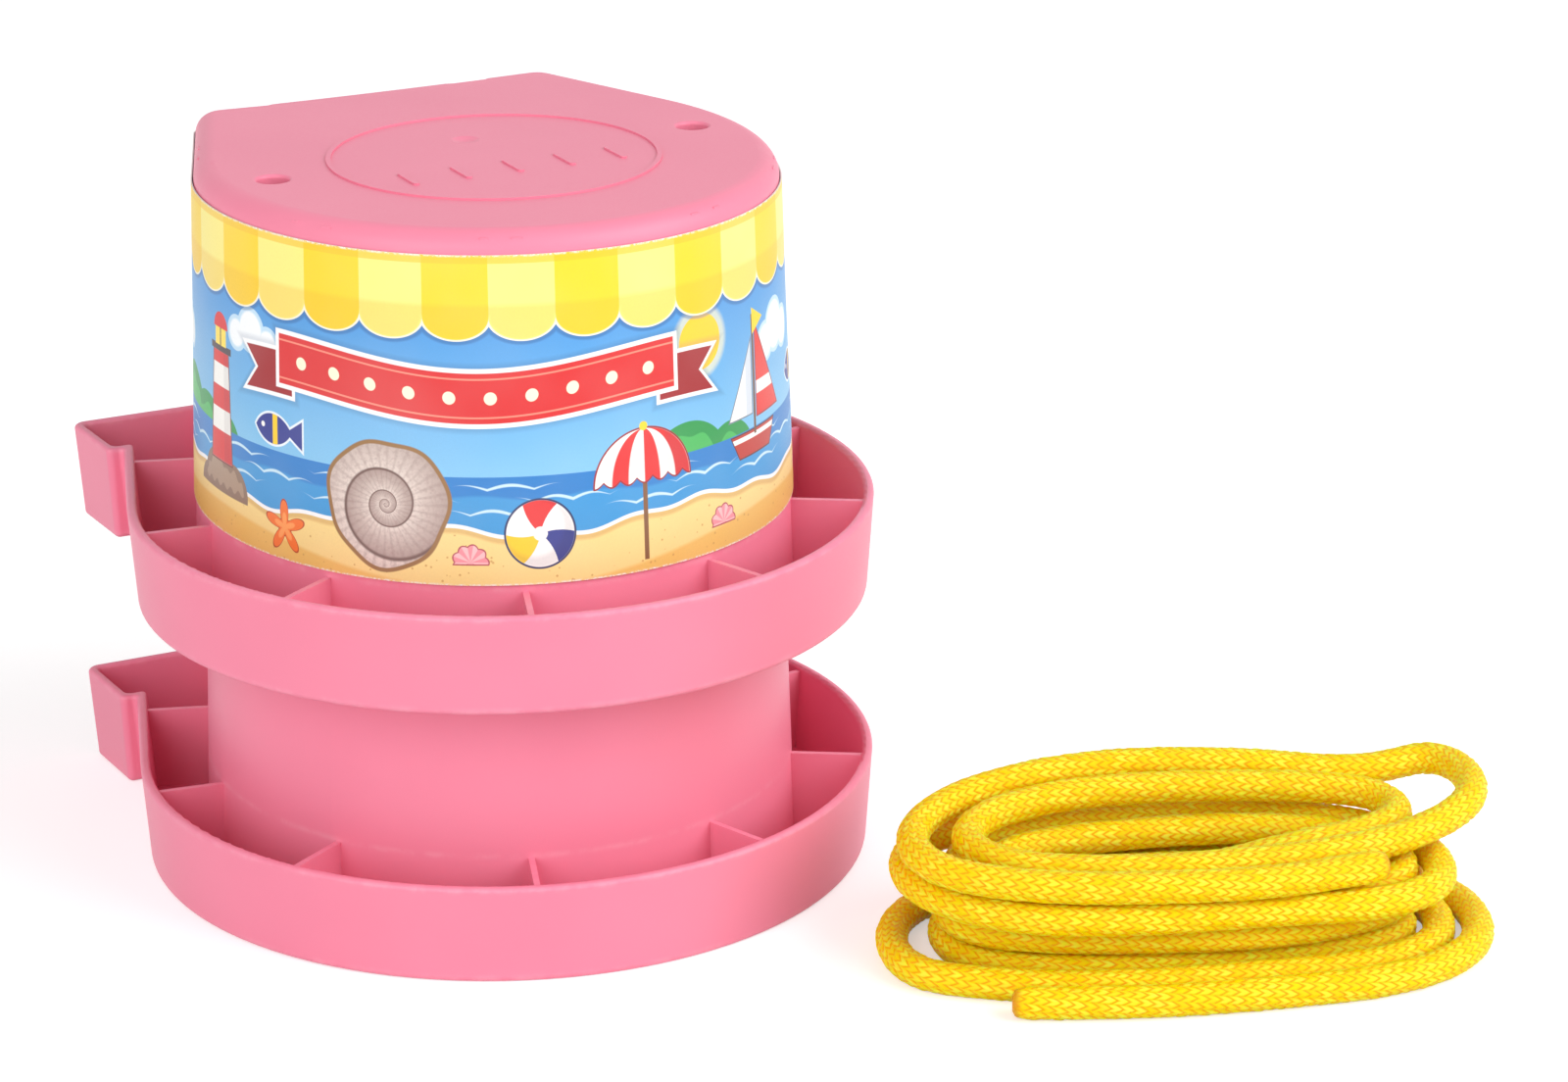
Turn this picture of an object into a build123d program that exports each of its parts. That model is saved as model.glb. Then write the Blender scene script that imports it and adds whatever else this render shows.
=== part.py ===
"""A pair of pot stilts: two nesting moulded pots with horseshoe feet, a paper band and two ropes.

Millimetres. The toe of the horseshoes points along -Y, +Z is up, and the origin is on the floor at the
centre of the pots' bounding box. Each pot is drawn about the centre of its toe circle, its foot at z = 0.
"""
from build123d import *
import math
import os

# ---------------------------------------------------------------- driving sizes: the pot
POT_HEIGHT = 89.0           # foot to tread
STACK_PITCH = 55.0          # how much higher each nested pot stands
WALL = 1.6                  # drafted wall of the pot
TREAD_THICKNESS = 2.4
NEST_CLEARANCE = 0.35       # between the walls of nested pots

BODY_TOE_RADIUS = 59.0      # wall at the foot, outside, round the toe
BODY_SIDE_RADIUS = 67.0     # flatter arc of the wall's sides
BODY_SIDE_START = 60.0      # degrees from the toe where that arc starts
BODY_FLANK_ANGLE = 21.0     # degrees that the wall's straight flank turns inwards
BODY_REAR = 66.4            # flat rear of the wall, behind the toe circle's centre
BODY_REAR_HOLLOW = 1.3      # the rear wall bows inwards this much
BODY_CORNER_RADIUS = 9.0
SHOULDER_RADIUS = 4.2       # rounded edge of the tread

# ---------------------------------------------------------------- driving sizes: the horseshoe foot
RIM_RADIUS = 75.0           # outer wall at its rim, round the toe
RIM_HEIGHT = 20.2
RIM_DRAFT = 4.0             # degrees that the outer wall leans out
RIM_WALL = 2.0
RIM_ROUND = 0.8             # both edges of the rim
RIM_FLANK_ANGLE = 18.5      # degrees that each branch turns inwards
FLOOR_THICKNESS = 2.0
HEEL_START = 59.0           # the heel block, behind the toe circle's centre
HEEL_END = 80.3
HEEL_STEP = 3.4             # the heel block stands out of the branch this much
HEEL_SPLAY = 2.5            # degrees that the heel's side leans out
HEEL_NOTCH_RADIUS = 1.0
HEEL_STEP_RADIUS = 1.5
HEEL_CORNER_RADIUS = 2.8
FOOT_EDGE_RADIUS = 1.2
GUTTER_RIB = 1.2            # thin ribs across the gutter
GUTTER_RIB_DROP = 1.0       # their tops lie below the rim
GUTTER_RIB_SPACING = 39.0   # degrees
GUTTER_RIB_PAIRS = 3
HEEL_RIB_SETBACK = 6.0      # last rib, ahead of the heel block

# ---------------------------------------------------------------- driving sizes: tread and inside
ROPE_DIAMETER = 6.0
ROPE_HOLE_CLEARANCE = 0.2   # all round the rope
ROPE_HOLE_SPAN = 90.0       # between the two hole centres
ROPE_HOLE_Y = 3.5
ROPE_HOLE_LIP = 0.7         # rounding of the hole's upper edge
ROPE_BOSS_WALL = 3.0
ROPE_BOSS_DEPTH = 3.0       # below the tread plate
TREAD_RING_RADIUS = 32.5    # plain raised ring on the tread
TREAD_RING_WIDTH = 1.0
TREAD_RELIEF = 0.35         # height of the ring and the grip bars
GRIP_BAR_LENGTH = 9.0
GRIP_BAR_WIDTH = 1.2
GRIP_BAR_SPACING = 11.0
GRIP_BAR_COUNT = 5
GATE_MARK_RADIUS = 2.8
GATE_MARK_DEPTH = 0.5
GATE_MARK_Y = 14.2
STACK_RIB = 2.0             # ribs inside the wall that the pot below carries
STACK_RIB_DEPTH = 9.0
STACK_RIB_ANGLES = (-128.0, -58.5, -19.5, 19.5, 58.5, 128.0)
STIFFENER = 1.4             # low ribs under the tread plate
STIFFENER_DEPTH = 5.0
STIFFENER_X = (-24.0, 24.0)
STIFFENER_Y = (-22.0, 30.0)

# ---------------------------------------------------------------- driving sizes: the paper band
BAND_THICKNESS = 0.3
BAND_CLEARANCE = 0.3
BAND_BOTTOM = 20.6          # above the upper pot's foot
BAND_TOP = 84.8

# ---------------------------------------------------------------- driving sizes: the hank of two ropes
HANK_CENTRE = (94.6, -112.65)   # on the floor
HANK_TURN = -20.0           # degrees from +X to the hank's long axis
HANK_HALF_RUN = 29.0        # from the middle of each long run to its ends
HANK_BOW = 9.0              # degrees that a run's ends turn inwards
TURN_PITCH = 7.4            # between the centre lines of turns side by side
LAYER_RISE = 6.7            # between the centre lines of turns on each other
FLOOR_GAP = 0.05            # under the lowest turns
ROPE_SAMPLES = 16           # points along each arc where the gaps are measured
ROPES = {
    # first layer, runs, run that climbs, half-width there, side of the first run (-1 is the front),
    # where the first run starts and the last one ends along the hank, each layer's extra turn in degrees
    # and its shift, and one wide fold: after which run, how far out, across and up, and its foot's lift
    "rope_lower_layers": dict(
        layer=0, runs=10, climb=6, inner=8.5, side=-1, start=-33.0, end=-12.0,
        turns=(0.0, 4.0), shifts=((0.0, 0.0), (-2.0, 0.0)), fold=(1, 7.0, -5.0, 0.0, 0.0)),
    "rope_upper_layers": dict(
        layer=2, runs=10, climb=5, inner=8.5, side=1, start=0.0, end=22.0,
        turns=(-5.0, 7.0), shifts=((1.0, 0.0), (3.0, 1.0)), fold=(7, 12.0, 3.0, 7.0, 2.0)),
}

# ---------------------------------------------------------------- worked out
BODY_DRAFT = math.degrees(math.atan((WALL + NEST_CLEARANCE) / STACK_PITCH))
FRAME_SHIFT_Y = (RIM_RADIUS - HEEL_END) / 2
ROPE_HOLE_RADIUS = ROPE_DIAMETER / 2 + ROPE_HOLE_CLEARANCE
STACK_SEAT = POT_HEIGHT - STACK_PITCH
FAR = 200.0                 # longer than anything on a pot
SMALLEST_ROUND = 1.3        # least corner left where the rim is drawn in past its radius
LEAST_BODY_CORNER = 4.0     # the same for the wall, more than its draft takes off over its height


def polar(radius, angle, centre=(0.0, 0.0)):
    """A point at an angle from the toe, positive towards +X."""
    turn = math.radians(angle)
    return (centre[0] + radius * math.sin(turn), centre[1] - radius * math.cos(turn))


def mirrored_face(half_edges, closing):
    """A face from one half's edges, their mirror image, and the edges that close it."""
    half = Curve() + list(half_edges)
    whole = half + mirror(half, about=Plane.YZ) + list(closing)
    return make_face(Wire(whole.edges()))


def along_flank(point, angle, y):
    """Where a straight flank that leans in by this angle reaches y."""
    return (point[0] - (y - point[1]) * math.tan(math.radians(angle)), y)


def body_half(rear, inset):
    """The right half of the wall's outline at the foot, from the toe back to y = rear."""
    toe_radius = BODY_TOE_RADIUS - inset
    side_radius = BODY_SIDE_RADIUS - inset
    side_centre = polar(BODY_TOE_RADIUS - BODY_SIDE_RADIUS, BODY_SIDE_START)
    side_start = polar(toe_radius, BODY_SIDE_START)
    side_end = polar(side_radius, 90 + BODY_FLANK_ANGLE, side_centre)
    side_middle = polar(side_radius, (BODY_SIDE_START + 90 + BODY_FLANK_ANGLE) / 2, side_centre)
    corner = along_flank(side_end, BODY_FLANK_ANGLE, rear)
    edges = [
        ThreePointArc(polar(toe_radius, 0), polar(toe_radius, BODY_SIDE_START / 2), side_start),
        ThreePointArc(side_start, side_middle, side_end),
        Line(side_end, corner),
    ]
    return edges, corner


def body_outline(inset=0.0):
    """The wall's outline at the foot, drawn in by inset, with a hollowed rear and round corners."""
    edges, corner = body_half(BODY_REAR - inset, inset)
    rear = ThreePointArc(corner, (0, corner[1] - BODY_REAR_HOLLOW), (-corner[0], corner[1]))
    face = mirrored_face(edges, [rear])
    corners = face.vertices().sort_by(Axis.Y)[-2:]
    return fillet(corners, max(BODY_CORNER_RADIUS - inset, LEAST_BODY_CORNER))


def tongue_outline(inset=0.0):
    """The wall's outline with its flanks carried on past the heels: the horseshoe's inner edge."""
    edges, corner = body_half(HEEL_END + RIM_WALL, inset)
    return mirrored_face(edges, [Line(corner, (-corner[0], corner[1]))])


def rim_outline(inset=0.0):
    """The outer wall's outline, drawn in by inset: toe arc, straight branches, stepped heel blocks."""
    radius = RIM_RADIUS - inset
    branch_start = polar(radius, 90 + RIM_FLANK_ANGLE)
    outer_notch = along_flank(polar(RIM_RADIUS, 90 + RIM_FLANK_ANGLE), RIM_FLANK_ANGLE, HEEL_START)
    side_foot = (outer_notch[0] + HEEL_STEP - inset / math.cos(math.radians(HEEL_SPLAY)), HEEL_START)
    notch = along_flank(branch_start, RIM_FLANK_ANGLE, HEEL_START + inset)
    step = along_flank(side_foot, -HEEL_SPLAY, HEEL_START + inset)
    heel = along_flank(side_foot, -HEEL_SPLAY, HEEL_END - inset)
    heel_line = FilletPolyline(
        branch_start, notch, step, heel, (0, HEEL_END - inset),
        radius=[
            HEEL_NOTCH_RADIUS,
            max(HEEL_STEP_RADIUS - inset, SMALLEST_ROUND),
            max(HEEL_CORNER_RADIUS - inset, SMALLEST_ROUND),
        ],
    )
    toe_arc = ThreePointArc(polar(radius, 0), polar(radius, (90 + RIM_FLANK_ANGLE) / 2), branch_start)
    return mirrored_face([toe_arc, heel_line], [])


def drafted(outline, height):
    """A solid that shrinks upwards with the pot's draft."""
    return extrude(outline, amount=height, taper=BODY_DRAFT)


def flared(low, high, inset=0.0):
    """The outer wall's shape between two heights, drawn in by inset: it widens up to the rim."""
    lean = math.tan(math.radians(RIM_DRAFT))
    sections = [Pos(0, 0, z) * rim_outline(inset + (RIM_HEIGHT - z) * lean) for z in (low, high)]
    return loft(sections, ruled=True)


def radial_plate(thickness, low, high, angle):
    """An upright plate from the centre line outwards, at an angle from the toe."""
    plate = Pos(0, -FAR / 2, (low + high) / 2) * Box(thickness, FAR, high - low)
    return Rot(0, 0, angle) * plate


def wall_shell():
    """The drafted wall and the tread plate."""
    outside = drafted(body_outline(), POT_HEIGHT)
    outside = fillet(outside.faces().sort_by(Axis.Z)[-1].edges(), SHOULDER_RADIUS)
    inside = drafted(body_outline(WALL), POT_HEIGHT - TREAD_THICKNESS)
    inside = fillet(inside.faces().sort_by(Axis.Z)[-1].edges(), SHOULDER_RADIUS - WALL)
    return outside - inside


def foot_shell():
    """The horseshoe gutter: floor, outer wall, heel blocks and the heels' inner walls."""
    outside = flared(0, RIM_HEIGHT)
    outside = fillet(outside.faces().sort_by(Axis.Z)[0].edges(), FOOT_EDGE_RADIUS)
    outside = fillet(outside.faces().sort_by(Axis.Z)[-1].edges(), RIM_ROUND)
    tub = outside - flared(FLOOR_THICKNESS, RIM_HEIGHT, RIM_WALL)
    inner_rim = tub.faces().sort_by(Axis.Z)[-1].inner_wires()[0].edges()
    tub = fillet(inner_rim, RIM_ROUND)
    tub -= drafted(tongue_outline(), RIM_HEIGHT)
    heel_walls = drafted(tongue_outline(), RIM_HEIGHT) - drafted(tongue_outline(WALL), RIM_HEIGHT)
    return tub + (heel_walls & flared(0, RIM_HEIGHT, RIM_WALL / 2))


def gutter_ribs():
    """Thin ribs across the gutter: pairs counted from the toe, and one square to each branch."""
    top = RIM_HEIGHT - GUTTER_RIB_DROP
    plates = []
    for pair in range(GUTTER_RIB_PAIRS):
        angle = GUTTER_RIB_SPACING * (pair + 0.5)
        plates.append(radial_plate(GUTTER_RIB, 0, top, angle))
        plates.append(radial_plate(GUTTER_RIB, 0, top, -angle))
    branch_start = polar(RIM_RADIUS, 90 + RIM_FLANK_ANGLE)
    foot = along_flank(branch_start, RIM_FLANK_ANGLE, HEEL_START - HEEL_RIB_SETBACK)
    for side in (1, -1):
        square = Rot(0, 0, side * RIM_FLANK_ANGLE) * Pos(0, 0, top / 2) * Box(RIM_RADIUS / 2, GUTTER_RIB, top)
        plates.append(Pos(side * foot[0], foot[1], 0) * square)
    reach = flared(0, RIM_HEIGHT, RIM_WALL / 2) - drafted(body_outline(WALL / 2), RIM_HEIGHT)
    return [plate & reach for plate in plates]


def inner_ribs():
    """Ribs inside the wall that stand on the pot below, and low ribs under the tread plate."""
    under = POT_HEIGHT - TREAD_THICKNESS / 2
    reach = drafted(body_outline(WALL / 2), under)
    core = drafted(body_outline(WALL + STACK_RIB_DEPTH), under)
    ribs = [radial_plate(STACK_RIB, STACK_SEAT, under, angle) & (reach - core) for angle in STACK_RIB_ANGLES]
    low = POT_HEIGHT - TREAD_THICKNESS - STIFFENER_DEPTH
    middle = (low + under) / 2
    for x in STIFFENER_X:
        ribs.append(Pos(x, 0, middle) * Box(STIFFENER, FAR, under - low) & reach)
    for y in STIFFENER_Y:
        ribs.append(Pos(0, y, middle) * Box(FAR, STIFFENER, under - low) & reach)
    return ribs


def tread_relief():
    """The plain raised ring and the grip bars inside it."""
    base = Pos(0, 0, POT_HEIGHT - TREAD_THICKNESS / 2)
    height = TREAD_THICKNESS / 2 + TREAD_RELIEF
    ring = Circle(TREAD_RING_RADIUS + TREAD_RING_WIDTH / 2) - Circle(TREAD_RING_RADIUS - TREAD_RING_WIDTH / 2)
    pieces = [base * extrude(ring, amount=height)]
    first = -GRIP_BAR_SPACING * (GRIP_BAR_COUNT - 1) / 2
    for bar in range(GRIP_BAR_COUNT):
        slot = SlotOverall(GRIP_BAR_LENGTH, GRIP_BAR_WIDTH, rotation=90)
        pieces.append(base * Pos(first + bar * GRIP_BAR_SPACING, -GRIP_BAR_LENGTH) * extrude(slot, amount=height))
    return pieces


def rope_holes(radius, low, high):
    """Two upright cylinders on the rope hole centres."""
    rod = Pos(0, 0, (low + high) / 2) * Cylinder(radius, high - low)
    return [Pos(side * ROPE_HOLE_SPAN / 2, ROPE_HOLE_Y, 0) * rod for side in (-1, 1)]


def make_pot():
    """One pot, drawn about the centre of its toe circle with its foot at z = 0."""
    under = POT_HEIGHT - TREAD_THICKNESS
    pot = wall_shell() + foot_shell()
    pot += gutter_ribs()
    pot += inner_ribs()
    pot += rope_holes(ROPE_HOLE_RADIUS + ROPE_BOSS_WALL, under - ROPE_BOSS_DEPTH, under + TREAD_THICKNESS / 2)
    pot -= rope_holes(ROPE_HOLE_RADIUS, under - ROPE_BOSS_DEPTH - 1, POT_HEIGHT + 1)
    lips = [
        edge for edge in pot.edges().filter_by(GeomType.CIRCLE)
        if abs(edge.radius - ROPE_HOLE_RADIUS) < 0.01 and abs(edge.center().Z - POT_HEIGHT) < 0.01
    ]
    pot = fillet(lips, ROPE_HOLE_LIP)
    pot += tread_relief()
    ball = (GATE_MARK_RADIUS ** 2 + GATE_MARK_DEPTH ** 2) / (2 * GATE_MARK_DEPTH)
    pot -= Pos(0, GATE_MARK_Y, POT_HEIGHT - GATE_MARK_DEPTH + ball) * Sphere(ball)
    return pot


def make_band():
    """The paper band round the upper pot's wall, in the same pot coordinates."""
    outer = drafted(body_outline(-(BAND_CLEARANCE + BAND_THICKNESS)), POT_HEIGHT)
    inner = drafted(body_outline(-BAND_CLEARANCE), POT_HEIGHT)
    slab = Pos(0, 0, (BAND_BOTTOM + BAND_TOP) / 2) * Box(FAR, FAR, BAND_TOP - BAND_BOTTOM)
    return (outer - inner) & slab


def hank_place(along, across, height, heading, turn, shift):
    """A point and a level direction, from a layer's own axes into the model's."""
    frame = Pos(*HANK_CENTRE, 0) * Rot(0, 0, HANK_TURN + turn) * Pos(shift[0] + along, shift[1] + across, height)
    ahead = frame * Pos(math.cos(heading), math.sin(heading), 0)
    return frame.position, ahead.position - frame.position


def rope_stations(layer, runs, climb, inner, side, start, end, turns, shifts, fold):
    """The points and directions that one rope passes: a flat spiral in, a climb along a run, and one out."""
    bow = math.radians(HANK_BOW)
    bulge = HANK_HALF_RUN * math.tan(bow) / 2

    def half_width(run):
        return inner + TURN_PITCH / 2 * abs(run - climb)

    def on_run(run, along, upper, lift=0.0):
        near = side * (-1) ** run
        part_way = along / HANK_HALF_RUN
        across = near * (half_width(run) + bulge * (1 - part_way ** 2))
        height = ROPE_DIAMETER / 2 + FLOOR_GAP + LAYER_RISE * (layer + upper) + lift
        heading = (0 if near < 0 else math.pi) - near * part_way * bow
        return hank_place(along, across, height, heading, turns[upper], shifts[upper])

    stations = [on_run(0, start, 0)]
    for run in range(runs):
        ahead = -side * (-1) ** run
        before, after = int(run > climb), int(run >= climb)
        if run > 0:
            stations.append(on_run(run, -ahead * HANK_HALF_RUN, before))
        if run == runs - 1:
            stations.append(on_run(run, end, after))
            break
        out, over, up, foot_lift = fold[1:] if run == fold[0] else (0, 0, 0, 0)
        stations.append(on_run(run, ahead * HANK_HALF_RUN, after, foot_lift))
        reach = HANK_HALF_RUN + (half_width(run) + half_width(run + 1)) / 2 + out
        across = -ahead * (half_width(run) - half_width(run + 1)) / 2 + over
        height = ROPE_DIAMETER / 2 + FLOOR_GAP + LAYER_RISE * (layer + after) + up
        heading = ahead * math.pi / 2
        stations.append(hank_place(ahead * reach, across, height, heading, turns[after], shifts[after]))
    return stations


def rope_edges(stations):
    """A straight end, two arcs from each station to the next, and another straight end."""
    first, first_way = stations[0]
    last, last_way = stations[-1]
    edges = [Edge.make_line(first - first_way * ROPE_DIAMETER, first)]
    for (here, way), (there, next_way) in zip(stations, stations[1:]):
        span = there - here
        forward = span.dot(way + next_way)
        turning = 2 * (1 - way.dot(next_way))
        if turning < 1e-9:
            reach = span.dot(span) / (2 * forward)
        else:
            reach = (math.sqrt(forward ** 2 + turning * span.dot(span)) - forward) / turning
        corner, next_corner = here + way * reach, there - next_way * reach
        joint = (corner + next_corner) / 2
        edges.append(Edge.make_tangent_arc(here, way, joint))
        edges.append(Edge.make_tangent_arc(joint, next_corner - corner, there))
    edges.append(Edge.make_line(last, last + last_way * ROPE_DIAMETER))
    return edges


def make_rope(name):
    """One unbroken rope of the hank, and the points measured along it."""
    edges = rope_edges(rope_stations(**ROPES[name]))
    path = Wire(edges)
    section = Plane(origin=path @ 0, z_dir=path % 0) * Circle(ROPE_DIAMETER / 2)
    tube = sweep(section, path=path)
    points = [edge @ (step / ROPE_SAMPLES) for edge in edges for step in range(ROPE_SAMPLES)]
    radii = [edge.radius for edge in edges if edge.geom_type == GeomType.CIRCLE]
    print(name, "length", round(path.length, 1), "tightest arc", round(min(radii), 1), "least gap to itself",
          round(least_gap(points, points, True), 2), "volume / (section x length)",
          round(tube.volume / (math.pi * ROPE_DIAMETER ** 2 / 4 * path.length), 4))
    return tube, points


def least_gap(points, others, same):
    """The least space between two ropes, or between turns of one rope."""
    walked, total = [], 0.0
    for before, after in zip(points[:1] + points, points):
        total += (after - before).length
        walked.append(total)
    least = FAR
    for i, point in enumerate(points):
        for j in range(i + 1 if same else 0, len(others)):
            if not same or walked[j] - walked[i] > 4 * ROPE_DIAMETER:
                other = others[j]
                apart = (point.X - other.X) ** 2 + (point.Y - other.Y) ** 2 + (point.Z - other.Z) ** 2
                least = min(least, apart)
    return math.sqrt(least) - ROPE_DIAMETER


os.makedirs("parts", exist_ok=True)
pot = make_pot()
place = Pos(0, FRAME_SHIFT_Y, 0)
lower_rope, lower_points = make_rope("rope_lower_layers")
upper_rope, upper_points = make_rope("rope_upper_layers")
print("least gap between the ropes", round(least_gap(lower_points, upper_points, False), 2))
pieces = {
    "lower_pot": place * pot,
    "upper_pot": Pos(0, 0, STACK_PITCH) * place * pot,
    "paper_band": Pos(0, 0, STACK_PITCH) * place * make_band(),
    "rope_lower_layers": lower_rope,
    "rope_upper_layers": upper_rope,
}
for name, piece in pieces.items():
    box = piece.bounding_box()
    print(name, "volume", round(piece.volume, 1), "valid", piece.is_valid,
          "solids", len(piece.solids()), box.min, box.max)
    export_step(piece, f"parts/{name}.step")
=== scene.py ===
import math
import bpy
import numpy as np
from mathutils import Matrix, Vector


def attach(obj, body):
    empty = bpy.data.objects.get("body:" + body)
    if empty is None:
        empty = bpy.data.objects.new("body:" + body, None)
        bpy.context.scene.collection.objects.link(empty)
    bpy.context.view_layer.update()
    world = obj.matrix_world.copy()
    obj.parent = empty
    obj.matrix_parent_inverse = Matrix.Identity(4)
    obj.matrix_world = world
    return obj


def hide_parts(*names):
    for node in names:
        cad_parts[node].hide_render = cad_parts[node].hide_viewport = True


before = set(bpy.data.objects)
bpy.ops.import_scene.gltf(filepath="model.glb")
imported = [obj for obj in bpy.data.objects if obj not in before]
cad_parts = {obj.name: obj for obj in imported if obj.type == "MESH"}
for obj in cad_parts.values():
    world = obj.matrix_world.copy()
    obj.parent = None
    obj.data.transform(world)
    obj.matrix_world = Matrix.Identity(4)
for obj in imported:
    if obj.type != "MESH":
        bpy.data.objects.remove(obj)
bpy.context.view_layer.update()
MM = 0.001


# ---------------------------------------------------------------- the camera
# A long lens looks down on the toe of the pots from the front left, as in the photograph.
camera_data = bpy.data.cameras.new("camera")
camera = bpy.data.objects.new("camera", camera_data)
bpy.context.scene.collection.objects.link(camera)
bpy.context.scene.camera = camera
camera.location = (-338.83 * MM, -783.83 * MM, 367.72 * MM)
camera.rotation_euler = (math.radians(70.304), 0.0, math.radians(-27.441))
camera_data.sensor_width = 36.0
camera_data.lens = 102.325
camera_data.shift_x = -0.0078
camera_data.clip_start = 0.05
camera_data.clip_end = 20.0


# ---------------------------------------------------------------- the hank of two ropes
# Each rope is a 6 mm polypropylene cord, knitted as a tube of V stitches, with heat-sealed ends.
# Both are wound by hand into one loose flat hank, the second on the first, and nothing ties them.
ROPE_DIAMETER = 6.0
HANK_CENTRE = (94.6, -112.65)
HANK_TURN = -20.0
HANK_HALF_RUN = 29.0
HANK_BOW = 9.0
TURN_PITCH = 7.4
LAYER_RISE = 6.7
FLOOR_GAP = 0.05
ROPES = {
    "rope_lower_layers": dict(
        layer=0, runs=10, climb=6, inner=8.5, side=-1, start=-33.0, end=-12.0,
        turns=(0.0, 4.0), shifts=((0.0, 0.0), (-2.0, 0.0)), fold=(1, 7.0, -5.0, 0.0, 0.0)),
    "rope_upper_layers": dict(
        layer=2, runs=10, climb=5, inner=8.5, side=1, start=0.0, end=22.0,
        turns=(-5.0, 7.0), shifts=((1.0, 0.0), (3.0, 1.0)), fold=(7, 12.0, 3.0, 7.0, 2.0)),
}
SWAY = 3.0                  # how far a layer sways to each side, over this length of the hank
SWAY_ON_FLOOR = 1.0
SWAY_LENGTH = 110.0
SWAY_START = 0.6
LONGER = 0.04               # how much longer or shorter one layer is than the next, as a share
TOP_LAYER = 3.0
MOVED_BY_HAND = {           # where some corners of the route lie off their place in the layers
    "rope_lower_layers": {
        9: (1.5, 0.0, 0.0), 10: (3.6, -1.2, 0.0), 11: (3.6, -1.2, 0.0), 12: (1.0, 0.0, 0.0)},
    "rope_upper_layers": {
        3: (-1.0, 0.3, 0.0), 4: (-3.2, 1.2, 0.0), 5: (-3.2, 1.2, 0.0), 6: (-1.0, 0.4, 0.0),
        36: (0.0, 1.0, 0.5), 37: (0.0, 2.5, 2.0), 38: (0.0, 3.0, 2.4), 39: (-1.0, 1.5, 1.2),
        40: (-1.5, 0.6, 0.0), 43: (1.0, -1.0, 0.5), 44: (2.0, -0.5, -1.0), 45: (-0.5, 0.0, -1.5),
        46: (-3.5, 0.5, -4.0), 47: (-3.5, 1.0, -3.7), 48: (-2.0, -1.0, 1.0), 49: (0.0, 2.5, 4.0),
        50: (0.0, 3.5, 4.4), 51: (-2.5, 2.5, 2.2), 52: (-4.4, 1.6, 0.3), 53: (-3.6, 1.0, 0.0),
        54: (-1.0, 0.0, 0.0)},
}
STITCH_COLUMNS = 12
STITCH_LENGTH = 2.3
STITCH_SLANT = 0.6          # how far a V's arms lean along the rope, in stitches
STITCH_DEPTH = 0.5
ROPE_CORE_RADIUS = 2.72
ROPE_TWIST = 160.0          # length along the rope in which its columns drift once round
RING_SEGMENTS = 42
RING_STEP = 0.5
ROUTE_STEPS = 16            # points read from the route for each of its corners
SEALED_LENGTH = 3.0         # the end that is melted smooth, a little thinner, and rounded
SEALED_THINNER = 0.10
END_ROUNDING = 1.1


def hank_place(along, across, height, heading, turn, shift):
    """A point in millimetres and a level direction, from a layer's own axes into the model's."""
    place = (Matrix.Translation((*HANK_CENTRE, 0.0))
             @ Matrix.Rotation(math.radians(HANK_TURN + turn), 4, "Z")
             @ Matrix.Translation((shift[0] + along, shift[1] + across, height)))
    way = place.to_3x3() @ Vector((math.cos(heading), math.sin(heading), 0.0))
    return place.translation.copy(), way


def rope_stations(layer, runs, climb, inner, side, start, end, turns, shifts, fold):
    """Where one rope passes, and which way: a flat spiral in, a climb along a run, and one out."""
    bow = math.radians(HANK_BOW)
    bulge = HANK_HALF_RUN * math.tan(bow) / 2

    def half_width(run):
        return inner + TURN_PITCH / 2 * abs(run - climb)

    def on_run(run, along, upper, lift=0.0):
        near = side * (-1) ** run
        part_way = along / HANK_HALF_RUN
        across = near * (half_width(run) + bulge * (1 - part_way ** 2))
        height = ROPE_DIAMETER / 2 + FLOOR_GAP + LAYER_RISE * (layer + upper) + lift
        heading = (0 if near < 0 else math.pi) - near * part_way * bow
        return hank_place(along, across, height, heading, turns[upper], shifts[upper])

    stations = [on_run(0, start, 0)]
    for run in range(runs):
        ahead = -side * (-1) ** run
        before, after = int(run > climb), int(run >= climb)
        if run > 0:
            stations.append(on_run(run, -ahead * HANK_HALF_RUN, before))
        if run == runs - 1:
            stations.append(on_run(run, end, after))
            break
        out, over, up, foot_lift = fold[1:] if run == fold[0] else (0, 0, 0, 0)
        stations.append(on_run(run, ahead * HANK_HALF_RUN, after, foot_lift))
        reach = HANK_HALF_RUN + (half_width(run) + half_width(run + 1)) / 2 + out
        across = -ahead * (half_width(run) - half_width(run + 1)) / 2 + over
        height = ROPE_DIAMETER / 2 + FLOOR_GAP + LAYER_RISE * (layer + after) + up
        heading = ahead * math.pi / 2
        bend = hank_place(ahead * reach, across, height, heading, turns[after], shifts[after])
        stations.append(bend)
    return stations


def rope_control_points(stations):
    """The corners where the directions of neighbouring stations meet, with the rope's two ends."""
    first, first_way = stations[0]
    last, last_way = stations[-1]
    points = [first - first_way * ROPE_DIAMETER]
    for (here, way), (there, next_way) in zip(stations, stations[1:]):
        span = there - here
        forward = span.dot(way + next_way)
        turning = 2 * (1 - way.dot(next_way))
        if turning < 1e-9:
            reach = span.dot(span) / (2 * forward)
        else:
            reach = (math.sqrt(forward ** 2 + turning * span.dot(span)) - forward) / turning
        points += [here + way * reach, there - next_way * reach]
    points.append(last + last_way * ROPE_DIAMETER)
    return points


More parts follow.
